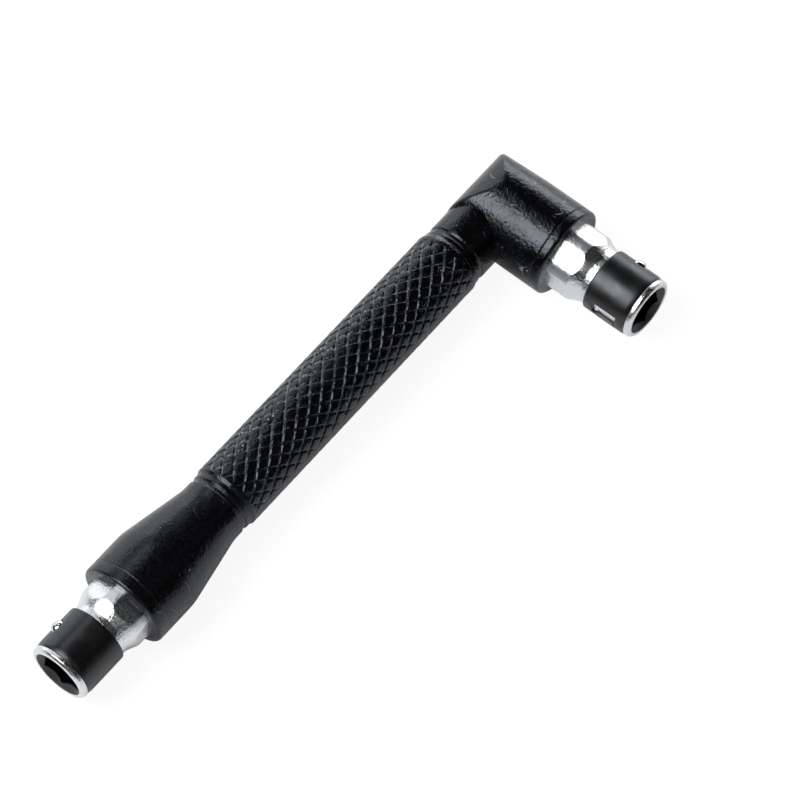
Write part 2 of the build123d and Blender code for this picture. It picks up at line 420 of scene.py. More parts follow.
def bright_chrome_on_turned_steel(name, finishes, along):
    """Decorative chrome over turned steel: a mirror that still shows the lathe's fine rings."""
    material, node = new_material(name)
    place = node("ShaderNodeTexCoord").outputs["Object"]
    # Tool marks run round the axis, about 0.12 mm apart.
    squeeze = [60.0, 60.0, 60.0]
    squeeze["XYZ".index(along)] = 8000.0
    stretched = node("ShaderNodeMapping", Vector=place, Scale=squeeze)
    rings, dimple, grain, cloud = (
        node("ShaderNodeTexNoise", Vector=where, Scale=scale, Detail=detail)
        for where, scale, detail in (
            (stretched, 1.0, 2.0),
            (place, 1300.0, 2.0),    # soft dimples of the plating, about 0.8 mm across
            (place, 4200.0, 2.0),    # its fine grain, about 0.25 mm, which breaks the reflections
            (place, 260.0, 3.0),     # slow changes of its haze, about 4 mm
        )
    )
    height = rings
    for pattern, weight in ((dimple, 2.2), (grain, 2.7)):
        height = node("ShaderNodeMath", pattern, weight, height, operation="MULTIPLY_ADD")
    bump = node("ShaderNodeBump", Strength=0.8, Distance=0.03 * MM, Height=height)
    # Surfaces cut on the lathe are less smooth than the drawn flats of the bar. The bore is made
    # duller, and it is coloured near black as painted shade inside the recess.
    turned = node("ShaderNodeAttribute", attribute_name="turned").outputs["Fac"]
    bare = node("ShaderNodeAttribute", attribute_name="bare").outputs["Fac"]
    haze = node("ShaderNodeMapRange", cloud, 0.4, 0.7, 0.14, 0.22, **SMOOTH)
    for mark, weight in ((turned, 0.16), (bare, 0.35)):
        haze = node("ShaderNodeMath", mark, weight, haze, operation="MULTIPLY_ADD")
    shade = node(
        "ShaderNodeMix", Factor=bare, _6=(*finishes.chrome, 1), _7=(*finishes.bore, 1),
        data_type="RGBA",
    ).outputs[2]
    shader = node(
        "ShaderNodeBsdfPrincipled", Base_Color=shade, Metallic=1.0, Roughness=haze, Normal=bump
    )
    node("ShaderNodeOutputMaterial", Surface=shader)
    return material


def black_oxide_on_spring_steel(finishes):
    """Rolled spring strip, blackened and oiled: a dark, slightly mottled satin."""
    material, node = new_material("black_oxide_on_spring_steel")
    place = node("ShaderNodeTexCoord").outputs["Object"]
    # Mottling of the oxide, about 0.4 mm across, over slow changes of its gloss, about 2.5 mm.
    mottle, cloud = (
        node("ShaderNodeTexNoise", Vector=place, Scale=scale, Detail=3.0)
        for scale in (2400.0, 400.0)
    )
    rough = node("ShaderNodeMapRange", cloud, 0.35, 0.7, 0.24, 0.34, **SMOOTH)
    rough = node("ShaderNodeMath", mottle, 0.12, rough, operation="MULTIPLY_ADD")
    bump = node("ShaderNodeBump", Strength=0.15, Distance=0.02 * MM, Height=mottle)
    shader = node(
        "ShaderNodeBsdfPrincipled", Base_Color=(*finishes.oxide, 1), Metallic=0.0,
        Roughness=rough, IOR=1.6, Normal=bump,
    )
    node("ShaderNodeOutputMaterial", Surface=shader)
    return material


def polished_bearing_steel(finishes):
    """Ground and polished ball: a clean mirror with a very faint haze."""
    material, node = new_material("polished_bearing_steel")
    place = node("ShaderNodeTexCoord").outputs["Object"]
    cloud = node("ShaderNodeTexNoise", Vector=place, Scale=3000.0, Detail=2.0)
    haze = node("ShaderNodeMapRange", cloud, 0.3, 0.7, 0.08, 0.16, **SMOOTH)
    shader = node(
        "ShaderNodeBsdfPrincipled", Base_Color=(*finishes.ball, 1), Metallic=1.0, Roughness=haze
    )
    node("ShaderNodeOutputMaterial", Surface=shader)
    return material


def paper_sweep(finishes):
    """Matt studio paper: it reads as plain white and keeps the tool's soft shadow."""
    material, node = new_material("paper_sweep")
    place = node("ShaderNodeTexCoord").outputs["Object"]
    fibre = node("ShaderNodeTexNoise", Vector=place, Scale=900.0, Detail=3.0)
    matt = node("ShaderNodeMapRange", fibre, 0.3, 0.7, 0.85, 0.95, **SMOOTH)
    # Straight from the camera most of the white is a glow, so that the shadow stays but is as
    # light as in an overexposed studio shot. The tool mirrors paper that is lit for the most part.
    plain, mirrored, seen = (
        node(
            "ShaderNodeBsdfPrincipled", Base_Color=(*shade, 1), Roughness=matt,
            Specular_IOR_Level=0.0,
        )
        for shade in (finishes.floor, finishes.floor, finishes.floor_shadow)
    )
    mirrored, seen = (
        node(
            "ShaderNodeAddShader", sheet,
            node("ShaderNodeEmission", Color=(1, 1, 1, 1), Strength=glow),
        )
        for sheet, glow in ((mirrored, 0.18), (seen, 0.92))
    )
    path = node("ShaderNodeLightPath").outputs
    by_mirror = node(
        "ShaderNodeMath", path["Is Glossy Ray"], path["Is Transmission Ray"], operation="MAXIMUM"
    )
    unseen = node("ShaderNodeMixShader", by_mirror, plain, mirrored)
    shader = node("ShaderNodeMixShader", path["Is Camera Ray"], unseen, seen)
    node("ShaderNodeOutputMaterial", Surface=shader)
    return material


# --- cast body ------------------------------------------------------------------------------


def handle_shell(s, k):
    """Handle from inside the head to the tail face, turned about the handle's axis."""
    r, g = s.neck_radius, s.groove_radius
    tail = TAIL_REACH - s.tail_stand_out
    flare_end = tail - s.tail_length
    flare_start = flare_end - s.flare_length
    slope = 0.25 * MM
    top, floor = s.groove_width / 2, s.groove_width / 2 - slope
    seam, line = tail - s.tail_seam, s.seam_width / 2

    def groove(middle):
        spots = ((middle - top, r), (middle - floor, g), (middle + floor, g), (middle + top, r))
        return [(station, radius, 0.12 * MM) for station, radius in spots]

    # Under the diamonds the handle is a plain core, well inside their grooves. Each corner is a
    # station from the arm's axis, a radius, and how far its rounding reaches.
    in_head, core, core_step = 1.0 * MM, 4.9 * MM, 0.05 * MM
    corners = [
        (in_head, 0, 0),
        (in_head, r, 0),
        *groove(s.head_groove),
        (s.collar_start, r, 0.35 * MM),
        (s.collar_full, k.grip_radius, 0.35 * MM),
        (k.grip_start, k.grip_radius, 0),
        (k.grip_start + core_step, core, 0),
        (k.grip_end - core_step, core, 0),
        (k.grip_end, k.grip_radius, 0),
        (k.grip_end + 0.15 * MM, k.grip_radius, 0.1 * MM),
        (k.grip_end + 0.60 * MM, r, 0.3 * MM),
        *groove(flare_start - s.tail_groove),
        (flare_start, r, 1.2 * MM),
        (flare_end, s.body_radius, 1.0 * MM),
        (seam - line, s.body_radius, 0.06 * MM),
        (seam, s.body_radius - s.tail_seam_depth, 0.06 * MM),
        (seam + line, s.body_radius, 0.06 * MM),
        (tail, s.body_radius, s.front_round),
        (tail, 0, 0),
    ]
    outline = divide(soften(corners), 0.5 * MM)
    angles = np.linspace(0, 2 * math.pi, 144, endpoint=False)
    vertices, faces = skin([ring(angles, *spot) for spot in outline])
    return placed(vertices, (0, 1, 0), (0, 0, 1), (-1, 0, 0), CENTRE), faces


def head_shell(s):
    """Head: the arm's drafted cylinder cut by a cylinder across it, with softened creases."""

    def outside(points):
        """Above zero outside the head, for points (across, up, along) with along towards +Y."""
        u, w, v = points[..., 0], points[..., 1], points[..., 2]
        back = s.back_radius - s.back_offset
        t = np.clip((v + s.taper_start) / (back + s.taper_start), 0, None)
        arm_distance = np.hypot(u, w)
        arm = arm_distance - (s.body_radius - t * (s.body_radius - s.back_taper_radius))
        lift = np.maximum(v + s.back_offset, 0)
        cross_distance = np.hypot(lift, w)
        cross = cross_distance - s.back_radius
        along = w * w / np.maximum(arm_distance * cross_distance, 1e-12)
        k = s.crease_round * np.clip(1 - along, 0.02, 1)
        h = np.maximum(k - np.abs(arm - cross), 0) / k
        return np.maximum(arm, cross) + h * h * k / 4

    angles = np.linspace(0, 2 * math.pi, 192, endpoint=False)
    sine, cosine = np.sin(angles), np.cos(angles)
    front = -s.head_front
    seam = front + s.seam_from_front
    outline = divide(
        soften(
            [
                (front, 0, 0),
                (front, s.body_radius, s.front_round),
                (seam - s.seam_width, s.body_radius, 0),
                (seam - s.seam_width / 2, s.body_radius, 0.05 * MM),
                (seam, s.body_radius - s.seam_depth, 0.04 * MM),
                (seam + s.seam_width / 2, s.body_radius, 0.05 * MM),
                (-s.taper_start - 1.5 * MM, s.body_radius, 0),
            ]
        ),
        0.4 * MM,
    )
    rings = [ring(angles, *spot) for spot in outline]

    # Rays from the arm's axis: square to it first, then fanned round the cross cylinder's axis.
    # Each is halved towards the surface, from a point that is well outside the head.
    well_outside, halvings = 12 * MM, 40
    rays = [(v, 0.0) for v in np.linspace(-s.taper_start - 1.2 * MM, -s.back_offset, 12)]
    rays += [(-s.back_offset, tilt) for tilt in np.linspace(0, math.pi / 2, 61)[1:]]
    for start, tilt in rays:
        side, forward = math.cos(tilt), math.sin(tilt)
        if side < 1e-6:
            rings.append(np.array([[0.0, 0.0, s.back_radius - s.back_offset]]))
            continue
        low, high = np.zeros_like(angles), np.full_like(angles, well_outside)
        for _ in range(halvings):
            middle = (low + high) / 2
            points = np.stack(
                [middle * side * sine, middle * side * cosine, start + middle * forward], axis=1
            )
            inside = outside(points) < 0
            low, high = np.where(inside, middle, low), np.where(inside, high, middle)
        rings.append(
            np.stack([low * side * sine, low * side * cosine, start + low * forward], axis=1)
        )
    vertices, faces = skin(rings)
    return placed(vertices, (1, 0, 0), (0, 0, 1), (0, 1, 0), CENTRE), faces


class SCREWDRIVER_OT_casting(bpy.types.Operator):
    """Build the one-piece cast body: handle, flare, tail cylinder and mitred head"""

    bl_idname = "screwdriver.casting"
    bl_label = "Cast body"

    def execute(self, context):
        scene = context.scene
        casting = scene.driver_casting
        shells = [handle_shell(casting, scene.driver_knurl), head_shell(casting)]
        piece = new_piece("cast_body", shells, sharp=40)
        material = black_enamel_on_die_cast_zinc(scene.driver_finishes)
        finish_piece(piece, DRIVER, "black_casting", material, "body")
        return {"FINISHED"}


# --- knurled grip ---------------------------------------------------------------------------


def set_curve(mapping, spots):
    """Lays a curve through its spots, in straight lines."""
    line = mapping.curves[0]
    line.points[0].location, line.points[-1].location = spots[0], spots[-1]
    for spot in spots[1:-1]:
        line.points.new(*spot)
    for point in line.points:
        point.handle_type = "VECTOR"
    mapping.update()


def knurl_tree():
    """Geometry nodes: one pillowed diamond, laid out on a flat lattice and rolled to a grip."""
    tree = bpy.data.node_groups.new("diamond_knurl", "GeometryNodeTree")
    for name, kind in (
        ("Grip Start", "Float"), ("Grip End", "Float"), ("Grip Radius", "Float"),
        ("Groove Depth", "Float"), ("Axial Pitch", "Float"), ("Lines Round", "Int"),
        ("First Row", "Float"), ("Turn", "Float"), ("Land Half Angle", "Float"),
        ("Centre", "Vector"), ("Finish", "Material"),
    ):
        tree.interface.new_socket(name, in_out="INPUT", socket_type=f"NodeSocket{kind}")
    tree.interface.new_socket("Geometry", in_out="OUTPUT", socket_type="NodeSocketGeometry")
    node = partial(add, tree)
    given = node("NodeGroupInput").outputs
    start, end, count = given["Grip Start"], given["Grip End"], given["Lines Round"]
    half_pitch = node("ShaderNodeMath", given["Axial Pitch"], 0.5, operation="MULTIPLY")
    # The angle that one diamond takes round the grip.
    turn = node("ShaderNodeMath", math.tau, count, operation="DIVIDE")
    half_turn = node("ShaderNodeMath", turn, 0.5, operation="MULTIPLY")

    # One diamond on a small square grid, its height sinking to the grooves at its four edges.
    # The grid's lines, which lie at sevenths of each half, are crowded towards the grooves: the
    # outer quarter of each half is the groove's wall, with a rounded shoulder.
    crowded = [(0, 0), (1 / 7, 0.13), (3 / 7, 0.30), (5 / 7, 0.37), (1, 0.5)]
    pillow = [(0, 1), (0.26, 0.99), (0.6, 0.95), (0.74, 0.88), (1, 0)]
    cell = node("GeometryNodeMeshGrid", Size_X=1.0, Size_Y=1.0, Vertices_X=8, Vertices_Y=8)
    flat = node("ShaderNodeSeparateXYZ", node("GeometryNodeInputPosition")).outputs
    lines, tops, cuts = [], [], []
    for axis in ("X", "Y"):
        side = node("ShaderNodeMath", flat[axis], operation="SIGN")
        line = flat[axis]
        for spots in (crowded, pillow):
            away = node("ShaderNodeMath", line, operation="ABSOLUTE")
            away = node("ShaderNodeMath", away, 2.0, operation="MULTIPLY")
            curve = node("ShaderNodeFloatCurve", Value=away)
            set_curve(curve.mapping, spots)
            if spots is crowded:
                line = node("ShaderNodeMath", side, curve, operation="MULTIPLY")
        lines.append(line)
        tops.append(curve)
        cuts.append(node("ShaderNodeMath", 1.0, curve, operation="SUBTRACT"))
    sunk = node("ShaderNodeMath", *tops, operation="MULTIPLY")
    sunk = node("ShaderNodeMath", sunk, 1.0, operation="SUBTRACT")
    # Painted highlight: the first cut's grooves, which face the light more, get stronger pale lines
    # than those of the second cut across them.
    second = node("ShaderNodeMath", cuts[1], 0.55, operation="MULTIPLY")
    groove = node("ShaderNodeMath", cuts[0], second, operation="MAXIMUM")
    point = {"data_type": "FLOAT", "domain": "POINT"}
    cell = node(
        "GeometryNodeStoreNamedAttribute", Geometry=cell, Name="groove", Value=groove, **point
    )
    along = node("ShaderNodeMath", *lines, operation="ADD")
    along = node("ShaderNodeMath", along, half_pitch, operation="MULTIPLY")
    around = node("ShaderNodeMath", *lines, operation="SUBTRACT")
    around = node("ShaderNodeMath", around, half_turn, operation="MULTIPLY")
    shaped = node("ShaderNodeCombineXYZ", along, around, sunk)
    cell = node("GeometryNodeSetPosition", Geometry=cell, Position=shaped)

    # Lattice points: rows half a pitch apart, every second row half a diamond round.
    rows = node("ShaderNodeMath", end, start, operation="SUBTRACT")
    rows = node("ShaderNodeMath", rows, half_pitch, operation="DIVIDE")
    rows = node("ShaderNodeMath", rows, operation="CEIL")
    rows = node("ShaderNodeMath", rows, 2.0, operation="ADD")
    index = node("GeometryNodeInputIndex")
    row = node("ShaderNodeMath", index, 0.5, operation="ADD")
    row = node("ShaderNodeMath", row, count, operation="DIVIDE")
    row = node("ShaderNodeMath", row, operation="FLOOR")
    column = node("ShaderNodeMath", row, count, operation="MULTIPLY")
    column = node("ShaderNodeMath", index, column, operation="SUBTRACT")
    odd = node("ShaderNodeMath", row, 2.0, operation="MODULO")
    odd = node("ShaderNodeMath", odd, 0.5, operation="MULTIPLY")
    down = node("ShaderNodeMath", row, half_pitch, operation="MULTIPLY")
    across = node("ShaderNodeMath", column, odd, operation="ADD")
    across = node("ShaderNodeMath", across, turn, operation="MULTIPLY")
    points = node(
        "GeometryNodePoints", Count=node("ShaderNodeMath", rows, count, operation="MULTIPLY"),
        Position=node("ShaderNodeCombineXYZ", down, across),
    )
    spread = node("GeometryNodeInstanceOnPoints", Points=points, Instance=cell)
    field = node("GeometryNodeRealizeInstances", Geometry=spread)

    # Roll the flat field round the axis, cut square at both ends, its grooves fading out over
    # 0.5 mm before the ends and, in radians, from just outside the lands to just inside them.
    out_of_land, into_land = 0.17, 0.03
    place = node("ShaderNodeSeparateXYZ", node("GeometryNodeInputPosition")).outputs
    station = node("ShaderNodeMath", start, given["First Row"], operation="SUBTRACT")
    station = node("ShaderNodeMath", place["X"], station, operation="ADD")
    station = node("ShaderNodeMath", station, start, operation="MAXIMUM")
    station = node("ShaderNodeMath", station, end, operation="MINIMUM")
    around = node("ShaderNodeMath", place["Y"], given["Turn"], operation="ADD")
    near_end = node(
        "ShaderNodeMath", node("ShaderNodeMath", station, start, operation="SUBTRACT"),
        node("ShaderNodeMath", end, station, operation="SUBTRACT"), operation="MINIMUM",
    )
    end_fade = node("ShaderNodeMapRange", near_end, 0.0, 0.5 * MM, **SMOOTH)
    from_land = node("ShaderNodeMath", around, math.pi, operation="ADD")
    from_land = node("ShaderNodeMath", from_land, math.pi, operation="PINGPONG")
    from_land = node("ShaderNodeMath", from_land, math.pi / 2, operation="SUBTRACT")
    from_land = node("ShaderNodeMath", from_land, operation="ABSOLUTE")
    land = given["Land Half Angle"]
    low = node("ShaderNodeMath", land, into_land, operation="SUBTRACT")
    high = node("ShaderNodeMath", land, out_of_land, operation="ADD")
    land_fade = node("ShaderNodeMapRange", from_land, low, high, **SMOOTH)
    fade = node("ShaderNodeMath", end_fade, land_fade, operation="MULTIPLY")
    depth = node("ShaderNodeMath", given["Groove Depth"], fade, operation="MULTIPLY")
    radius = node(
        "ShaderNodeMath", place["Z"], depth, given["Grip Radius"], operation="MULTIPLY_ADD"
    )
    groove = node("GeometryNodeInputNamedAttribute", Name="groove", data_type="FLOAT")
    groove = node("ShaderNodeMath", groove, fade, operation="MULTIPLY")
    tube = node(
        "GeometryNodeStoreNamedAttribute", Geometry=field, Name="groove", Value=groove, **point
    )
    rolled = [node("ShaderNodeMath", station, -1.0, operation="MULTIPLY")]
    for operation in ("SINE", "COSINE"):
        turned = node("ShaderNodeMath", around, operation=operation)
        rolled.append(node("ShaderNodeMath", radius, turned, operation="MULTIPLY"))
    rolled = node(
        "ShaderNodeVectorMath", node("ShaderNodeCombineXYZ", *rolled), given["Centre"],
        operation="ADD",
    )
    tube = node("GeometryNodeSetPosition", Geometry=tube, Position=rolled)
    tube = node("GeometryNodeMergeByDistance", Geometry=tube, Distance=0.004 * MM)
    tube = node("GeometryNodeSetShadeSmooth", Geometry=tube)
    tube = node("GeometryNodeRealizeInstances", Geometry=tube)
    tube = node("GeometryNodeSetMaterial", Geometry=tube, Material=given["Finish"])
    node("NodeGroupOutput", tube)
    return tree


def close_ends(mesh, ends):
    """Takes off the slivers that the square cut leaves in the end planes, and caps both ends."""
    shell = bmesh.new()
    shell.from_mesh(mesh)
    slivers = [
        face for face in shell.faces
        if any(all(abs(v.co.x - end) < 0.005 * MM for v in face.verts) for end in ends)
    ]
    bmesh.ops.delete(shell, geom=slivers, context="FACES")
    rims = [edge for edge in shell.edges if edge.is_boundary]
    caps = bmesh.ops.holes_fill(shell, edges=rims, sides=0)["faces"]
    bmesh.ops.recalc_face_normals(shell, faces=shell.faces)
    if shell.calc_volume(signed=True) < 0:
        bmesh.ops.reverse_faces(shell, faces=shell.faces)
    if len(caps) != 2:
        raise RuntimeError(f"the knurl's ends gave {len(caps)} caps")
    shell.to_mesh(mesh)
    shell.free()


class SCREWDRIVER_OT_knurl(bpy.types.Operator):
    """Roll the field of knurled diamonds round the grip"""

    bl_idname = "screwdriver.knurl"
    bl_label = "Knurled grip"

    def execute(self, context):
        sizes = context.scene.driver_knurl
        material = bpy.data.materials["black_enamel_on_die_cast_zinc"]
        tree = knurl_tree()
        seed = bpy.data.objects.new("knurl_seed", bpy.data.meshes.new("knurl_seed"))
        context.scene.collection.objects.link(seed)
        modifier = seed.modifiers.new("Diamond knurl", "NODES")
        modifier.node_group = tree
        others = {"Centre": CENTRE, "Finish": material}
        for item in tree.interface.items_tree:
            if item.in_out == "INPUT":
                size = item.name.lower().replace(" ", "_")
                value = others[item.name] if item.name in others else getattr(sizes, size)
                modifier[item.identifier] = value
        graph = context.evaluated_depsgraph_get()
        mesh = bpy.data.meshes.new_from_object(seed.evaluated_get(graph))
        bpy.data.objects.remove(seed)
        if len(mesh.polygons) < 1000:
            raise RuntimeError(f"the knurl has only {len(mesh.polygons)} faces")
        close_ends(mesh, (CENTRE.x - sizes.grip_start, CENTRE.x - sizes.grip_end))
        mesh.name = "knurled_grip"
        mesh.set_sharp_from_angle(angle=math.radians(55))
        piece = bpy.data.objects.new("knurled_grip", mesh)
        context.scene.collection.objects.link(piece)
        finish_piece(piece, DRIVER, "black_casting", material, "body")
        return {"FINISHED"}


# --- bit sockets ----------------------------------------------------------------------------

SOCKETS = {
    # name: mouth, outward axis, ball angle round that axis from straight up
    "head": (HEAD_MOUTH, Vector((0, -1, 0)), -60.0),
    "tail": (TAIL_MOUTH, Vector((-1, 0, 0)), 60.0),
}


def socket_axes(end):
    """Across, up and inward axes of a socket, with its mouth as the origin."""
    mouth, outward, _ = SOCKETS[end]
    up = Vector((0, 0, 1))
    return outward.cross(up), up, -outward, mouth


def hexagon(flats, around):
    """Radius of a hexagon, whose corner is straight up, so a flat's middle is 30 degrees on."""
    return flats / 2 / np.cos(around % math.radians(60) - math.radians(30))


def bore_wall(flats, around):
    """Radius of the broached bore, whose corners are cut off a little."""
    corner = 1.135    # corner radius as a multiple of half the width across flats
    return np.minimum(hexagon(flats, around), flats / 2 * corner)


def socket_shell(s, b, end):
    """Socket turned from hex bar: countersunk hex bore, rim, sleeve seat, neck, cone and hex."""
    angles = np.linspace(0, 2 * math.pi, 144, endpoint=False)
    bar, bore = hexagon(s.hex_flats, angles), bore_wall(s.bit_flats, angles)
    seat_end = s.rim_length + b.band_length + 2 * b.clearance
    cone = seat_end + s.neck_length
    hex_start = cone + s.cone_length
    k = 0.12 * MM    # width over which two surfaces blend

    def lower(a, c):
        h = np.maximum(k - np.abs(a - c), 0) / k
        return np.minimum(a, c) - h * h * k / 4

    def higher(a, c):
        return -lower(-a, -c)

    # A round relief behind the bore, from its drilled point outwards.
    relief, relief_length, point_length = 3.1 * MM, 0.9 * MM, 2.6 * MM
    inner = [
        (s.bore_depth + point_length, 0), (s.bore_depth + relief_length, relief),
        (s.bore_depth, relief),
    ]
    rings = [ring(angles, *spot) for spot in inner]
    # Few rings down the plain bore, and close ones over the countersink.
    plain, countersunk = [9 * MM, 6 * MM, 3 * MM], np.linspace(1.4, 0, 24) * MM
    for station in [s.bore_depth - 0.01 * MM, *plain, *countersunk]:
        rings.append(ring(angles, station, higher(bore, s.mouth_radius - station)))
    chamfer = 0.35 * MM
    outer = soften(
        [
            (0, s.mouth_radius, 0),
            (0, s.rim_radius - chamfer, 0.12 * MM),
            (chamfer, s.rim_radius, 0.12 * MM),
            (s.rim_length, s.rim_radius, 0.08 * MM),
            (s.rim_length, s.seat_radius, 0),
            (seat_end, s.seat_radius, 0),
            (seat_end, s.neck_radius, 0.08 * MM),
            (cone, s.neck_radius, 0.3 * MM),
            (hex_start, s.corner_radius, 0.3 * MM),
            (s.socket_length, s.corner_radius, 0),
            (s.socket_length, 0, 0),
        ]
    )
    for station, radius in divide(outer, 0.14 * MM)[1:]:
        # The plain hex needs no rings between its ends.
        if cone + 3.5 * MM < station < s.socket_length - 0.2 * MM:
            continue
        if station > cone - 0.5 * MM and radius > 0:
            radius = lower(np.full_like(angles, radius), bar)
        rings.append(ring(angles, station, radius))
    vertices, faces = skin(rings)
    # Marks what the lathe cut behind the sleeve: neck, cone and the bar's corners, not its flats.
    station, around = vertices[:, 2], np.arctan2(vertices[:, 0], vertices[:, 1])
    distance = np.hypot(vertices[:, 0], vertices[:, 1])
    spare = hexagon(s.hex_flats, around) - distance
    turned = np.clip(spare / (0.1 * MM), 0, 1) * (station > seat_end)
    turned[station < hex_start] *= 0.3
    # Painted shade: the bore is near black, and duller, from where the countersink runs out,
    # later on its flats than in its corners.
    wall = bore_wall(s.bit_flats, around)
    inside = (distance < wall + 0.03 * MM) & (station < s.bore_depth + 3 * MM)
    bare = inside & (station > s.mouth_radius - wall)
    # Painted shade: the countersink is coloured nearly as dark, and made nearly as dull, as the
    # bore.
    countersink_shade = (distance < s.mouth_radius) & (station > 0.05 * MM) & (station < s.bore_depth)
    bare = np.maximum(bare * 1.0, countersink_shade * 0.9)
    return placed(vertices, *socket_axes(end)), faces, {"turned": turned, "bare": bare}


class SCREWDRIVER_OT_sockets(bpy.types.Operator):
    """Build both chromed bit sockets"""

    bl_idname = "screwdriver.sockets"
    bl_label = "Bit sockets"

    def execute(self, context):
        scene = context.scene
        for end, along in (("head", "Y"), ("tail", "X")):
            *shell, marks = socket_shell(scene.driver_socket, scene.driver_sleeve, end)
            piece = new_piece(f"{end}_bit_socket", [shell], sharp=40)
            material = bright_chrome_on_turned_steel(
                f"bright_chrome_turned_along_{along.lower()}", scene.driver_finishes, along
            )
            for name, values in marks.items():
                mark = piece.data.attributes.new(name, "FLOAT", "POINT")
                mark.data.foreach_set("value", values.astype(float))
            finish_piece(piece, DRIVER, "chromed_steel", material, f"{end}_socket")
        return {"FINISHED"}


def strip_begin(s):
    """Angle from the ball to where the strip begins, at the far side of the slit."""
    return s.notch_from_ball + s.notch_sweep + s.slit_width / s.band_radius


def sleeve_plan(s, r):
    """Flat plan of the spring strip: arc from one end of the strip against station from the mouth.
    Gives vertices and faces: a tongue on that end, a notch in the other, a round ball hole."""
    start = r.rim_length + s.clearance
    middle = start + s.band_length / 2
    whole = math.tau * s.band_radius - s.slit_width
    tongue = s.slit_width + (s.notch_sweep - s.tongue_gap) * s.band_radius
    tongue_at = middle - s.tongue_shift
    notch = whole - s.notch_sweep * s.band_radius
    notch_side, tongue_side = s.notch_length / 2, s.tongue_length / 2
    ball = ((math.tau - strip_begin(s)) * s.band_radius, start + s.ball_from_edge)
    reach = 1.75 * MM    # half the square patch that carries the ball's hole

    def lines(stops, step):
        stops = sorted(stops)
        values = [stops[0]]
        for a, b in zip(stops, stops[1:]):
            values += list(np.linspace(a, b, max(1, math.ceil((b - a) / step)) + 1)[1:])
        return values

    across = lines([-tongue, 0, ball[0] - reach, ball[0] + reach, notch, whole], 0.45 * MM)
    down = lines(
        [start, start + 0.35 * MM, start + 0.8 * MM, middle - notch_side, middle + notch_side,
         tongue_at - tongue_side, tongue_at + tongue_side, ball[1] - reach, ball[1] + reach,
         start + s.band_length],
        0.5 * MM,
    )
    index = {}
    vertices, faces = [], []

    def corner(x, y):
        key = (round(x * 1e7), round(y * 1e7))
        if key not in index:
            index[key] = len(vertices)
            vertices.append((x, y, 0.0))
        return index[key]

    border = set()
    for x0, x1 in zip(across, across[1:]):
        for y0, y1 in zip(down, down[1:]):
            x, y = (x0 + x1) / 2, (y0 + y1) / 2
            if x < 0 and abs(y - tongue_at) > tongue_side:
                continue
            if x > notch and abs(y - middle) < notch_side:
                continue
            if abs(x - ball[0]) < reach and abs(y - ball[1]) < reach:
                for px, py in ((x0, y0), (x1, y0), (x1, y1), (x0, y1)):
                    if max(abs(px - ball[0]), abs(py - ball[1])) > reach - 1e-7:
                        border.add(corner(px, py))
                continue
            faces.append((corner(x0, y0), corner(x1, y0), corner(x1, y1), corner(x0, y1)))

    def bearing(i):
        return math.atan2(vertices[i][1] - ball[1], vertices[i][0] - ball[0])

    outer = sorted(border, key=bearing)
    inner = []
    for i in outer:
        x, y = vertices[i][0] - ball[0], vertices[i][1] - ball[1]
        scale = s.ball_hole_radius / math.hypot(x, y)
        inner.append(corner(ball[0] + x * scale, ball[1] + y * scale))
    for k in range(len(outer)):
        n = (k + 1) % len(outer)
        faces.append((inner[k], outer[k], outer[n], inner[n]))
    return vertices, faces


def sleeve_piece(s, r, end):
    """Rolls the strip's plan round the socket, with softened edges and a turned-in front lip."""
    vertices, faces = sleeve_plan(s, r)
    mesh = bpy.data.meshes.new(f"{end}_sleeve_plan")
    mesh.from_pydata(vertices, [], faces)
    plan = bpy.data.objects.new(f"{end}_sleeve_plan", mesh)
    bpy.context.scene.collection.objects.link(plan)
    wall = plan.modifiers.new("Strip", "SOLIDIFY")
    wall.thickness = s.thickness
    wall.offset = -1.0
    edge = plan.modifiers.new("Edges", "BEVEL")
    edge.limit_method = "ANGLE"
    edge.angle_limit = math.radians(60)
    edge.width = s.edge_round
    edge.segments = 2
    graph = bpy.context.evaluated_depsgraph_get()
    flat = bpy.data.meshes.new_from_object(plan.evaluated_get(graph))
    bpy.data.objects.remove(plan)
    points = np.array([v.co for v in flat.vertices])
    loops = [tuple(p.vertices) for p in flat.polygons]
    start = r.rim_length + s.clearance
    # The front lip is turned in: near the rim the strip loses up to this part of its thickness.
    lip_length, lip_drop = 0.8 * MM, 0.45
    lip = np.clip(1 - (points[:, 1] - start) / lip_length, 0, 1) ** 2 * lip_drop
    depth = points[:, 2] - points[:, 2].min()
    radius = s.band_radius - s.thickness + depth * (1 - lip)
    turn = math.radians(SOCKETS[end][2]) + strip_begin(s) + points[:, 0] / s.band_radius
    rolled = np.stack([radius * np.sin(turn), radius * np.cos(turn), points[:, 1]], axis=1)
    return new_piece(f"{end}_sleeve", [(placed(rolled, *socket_axes(end)), loops)], sharp=50)


class SCREWDRIVER_OT_sleeves(bpy.types.Operator):
    """Roll both blackened spring sleeves, with their tongues, notches and ball holes"""

    bl_idname = "screwdriver.sleeves"
    bl_label = "Spring sleeves"

    def execute(self, context):
        scene = context.scene
        material = black_oxide_on_spring_steel(scene.driver_finishes)
        for end in SOCKETS:
            piece = sleeve_piece(scene.driver_sleeve, scene.driver_socket, end)
            finish_piece(piece, DRIVER, "black_spring_steel", material, f"{end}_spring_sleeve")
        return {"FINISHED"}


class SCREWDRIVER_OT_balls(bpy.types.Operator):
    """Polish both detent balls"""

    bl_idname = "screwdriver.balls"
    bl_label = "Detent balls"

    def execute(self, context):
        material = polished_bearing_steel(context.scene.driver_finishes)
        for end in SOCKETS:
            mesh = frame["nodes"][f"{end}_detent_ball"].data
            mesh.materials.clear()
            mesh.materials.append(material)
        return {"FINISHED"}


# --- stage ----------------------------------------------------------------------------------


